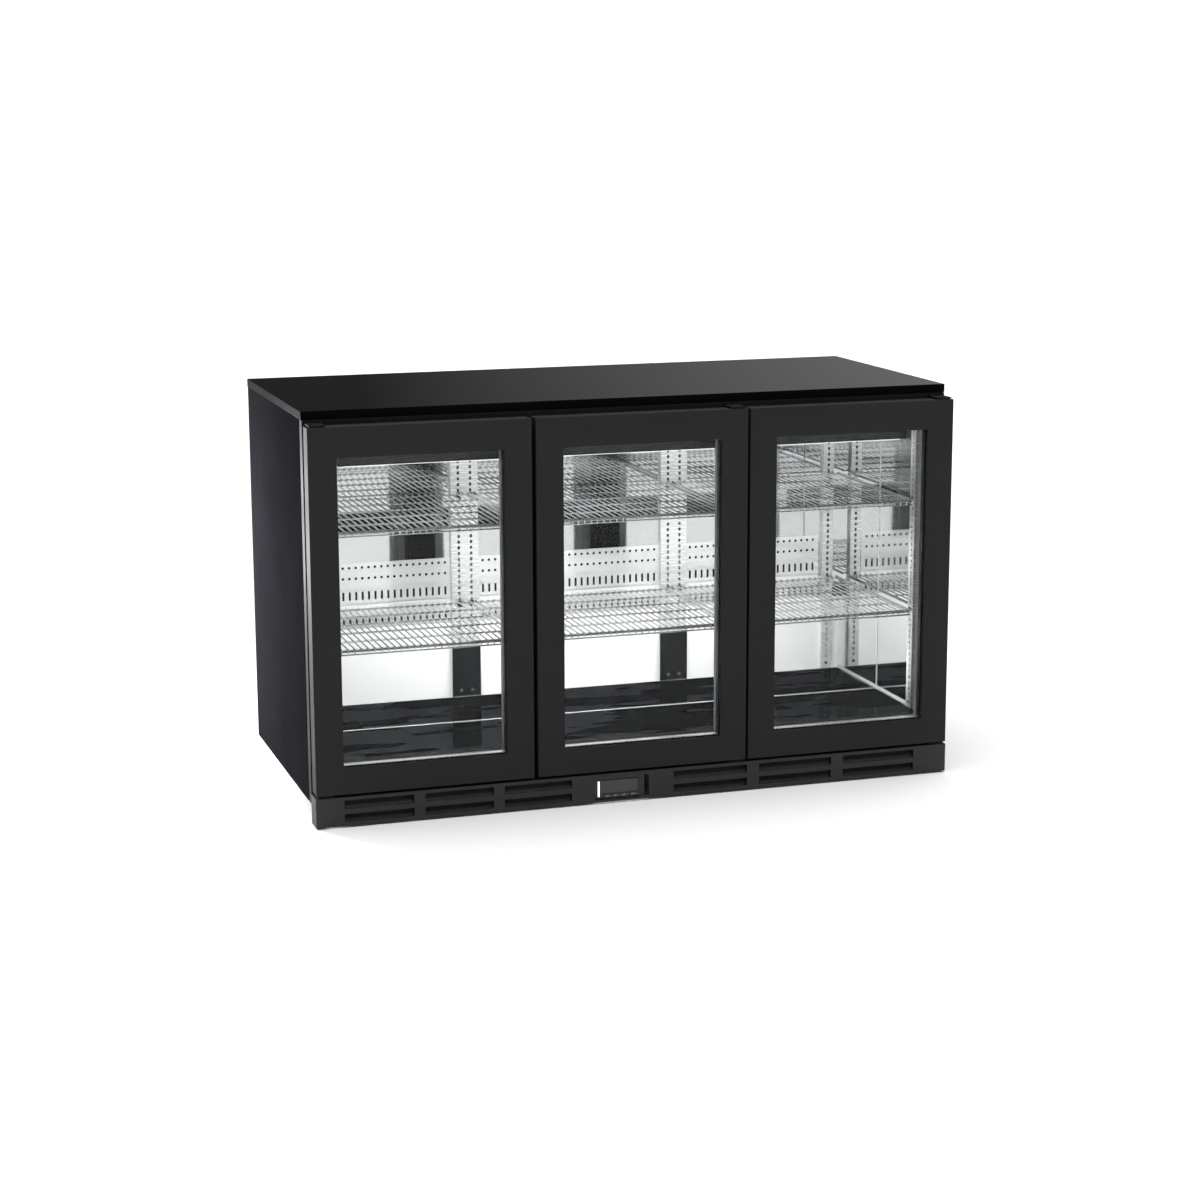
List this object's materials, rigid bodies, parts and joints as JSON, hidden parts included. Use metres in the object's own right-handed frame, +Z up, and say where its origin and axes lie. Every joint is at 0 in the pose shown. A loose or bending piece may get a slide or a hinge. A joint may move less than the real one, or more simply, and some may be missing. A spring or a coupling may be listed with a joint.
{
  "type": "under counter fridge",
  "caption": "Low black bar fridge with glazed hinged doors, a polished steel interior with wire shelves on slotted pilasters, and a louvred plinth with a digital controller.",
  "frame": {"origin": "on the floor, in the middle of the footprint", "axes": "+X to the right seen from the front, +Y to the back, +Z up; the doors face -Y"},
  "size_m": [1.35, 0.62, 0.818],
  "materials": {
    "worktop_gloss_black": "gloss",
    "side_black_paint": "satin",
    "door_black_paint": "satin",
    "plinth_plastic": "matte",
    "controller_plastic": "gloss",
    "key_plastic": "satin",
    "foot_rubber": "matte",
    "gasket_rubber": "matte",
    "glass": "polished",
    "zinc_plate": "satin",
    "mirror_steel": "polished",
    "chrome_wire": "polished",
    "foam": "matte",
    "fin_aluminium": "satin",
    "machine_black": "satin",
    "black_plastic": "matte"
  },
  "bodies": {
    "cabinet": {"worktop": "worktop_gloss_black", "side_panel_left": "side_black_paint", "side_panel_right": "side_black_paint", "base_pan": "zinc_plate", "back_panel": "zinc_plate", "foam_body": "foam", "liner_floor": "mirror_steel", "liner_ceiling": "mirror_steel", "liner_left": "mirror_steel", "liner_right": "mirror_steel", "liner_back": "mirror_steel", "front_frame": "door_black_paint", "mullion_left": "door_black_paint", "mullion_right": "door_black_paint", "plinth_grille": "plinth_plastic", "controller_housing": "controller_plastic", "foot_front_left": "foot_rubber", "foot_front_right": "foot_rubber", "foot_rear_left": "foot_rubber", "foot_rear_right": "foot_rubber", "hinge_lower_left": "zinc_plate", "hinge_upper_left": "zinc_plate", "hinge_lower_middle": "zinc_plate", "hinge_upper_middle": "zinc_plate", "hinge_lower_right": "zinc_plate", "hinge_upper_right": "zinc_plate", "pilaster_back_left": "mirror_steel", "pilaster_back_right": "mirror_steel", "pilaster_back_middle_left": "mirror_steel", "pilaster_back_middle_right": "mirror_steel", "pilaster_side_left": "mirror_steel", "pilaster_side_right": "mirror_steel", "pilaster_mullion_left": "mirror_steel", "pilaster_mullion_right": "mirror_steel", "shelf_lower_left": "chrome_wire", "shelf_lower_middle": "chrome_wire", "shelf_lower_right": "chrome_wire", "shelf_upper_left": "chrome_wire", "shelf_upper_middle": "chrome_wire", "shelf_upper_right": "chrome_wire", "evaporator_cover": "mirror_steel", "evaporator": "fin_aluminium", "condenser": "fin_aluminium", "compressor": "machine_black", "power_inlet": "black_plastic"},
    "door_left": {"door_frame_left": "door_black_paint", "door_glass_left": "glass", "door_gasket_left": "gasket_rubber"},
    "door_middle": {"door_frame_middle": "door_black_paint", "door_glass_middle": "glass", "door_gasket_middle": "gasket_rubber"},
    "door_right": {"door_frame_right": "door_black_paint", "door_glass_right": "glass", "door_gasket_right": "gasket_rubber"},
    "key_set": {"key_set": "key_plastic"},
    "key_up": {"key_up": "key_plastic"},
    "key_down": {"key_down": "key_plastic"},
    "key_light": {"key_light": "key_plastic"},
    "evaporator_fan": {"evaporator_fan": "black_plastic"},
    "condenser_fan": {"condenser_fan": "black_plastic"}
  },
  "joints": [
    {"name": "door_left_hinge", "type": "hinge", "parent": "cabinet", "child": "door_left", "pos_m": [-0.662, -0.301, 0.43], "axis": [0, 0, -1], "range_deg": [0, 90]},
    {"name": "door_middle_hinge", "type": "hinge", "parent": "cabinet", "child": "door_middle", "pos_m": [0.2115, -0.301, 0.43], "axis": [0, 0, 1], "range_deg": [0, 90]},
    {"name": "door_right_hinge", "type": "hinge", "parent": "cabinet", "child": "door_right", "pos_m": [0.662, -0.301, 0.43], "axis": [0, 0, 1], "range_deg": [0, 90]},
    {"name": "key_set_press", "type": "slide", "parent": "cabinet", "child": "key_set", "axis": [0, 1, 0], "range_m": [0, 0.0008], "stiffness_N_per_m": 300},
    {"name": "key_up_press", "type": "slide", "parent": "cabinet", "child": "key_up", "axis": [0, 1, 0], "range_m": [0, 0.0008], "stiffness_N_per_m": 300},
    {"name": "key_down_press", "type": "slide", "parent": "cabinet", "child": "key_down", "axis": [0, 1, 0], "range_m": [0, 0.0008], "stiffness_N_per_m": 300},
    {"name": "key_light_press", "type": "slide", "parent": "cabinet", "child": "key_light", "axis": [0, 1, 0], "range_m": [0, 0.0008], "stiffness_N_per_m": 300},
    {"name": "evaporator_fan_spin", "type": "hinge", "parent": "cabinet", "child": "evaporator_fan", "pos_m": [0.3, 0.218, 0.395], "axis": [0, 1, 0], "continuous": true},
    {"name": "condenser_fan_spin", "type": "hinge", "parent": "cabinet", "child": "condenser_fan", "pos_m": [0.325, 0.261, 0.125], "axis": [1, 0, 0], "continuous": true}
  ]
}
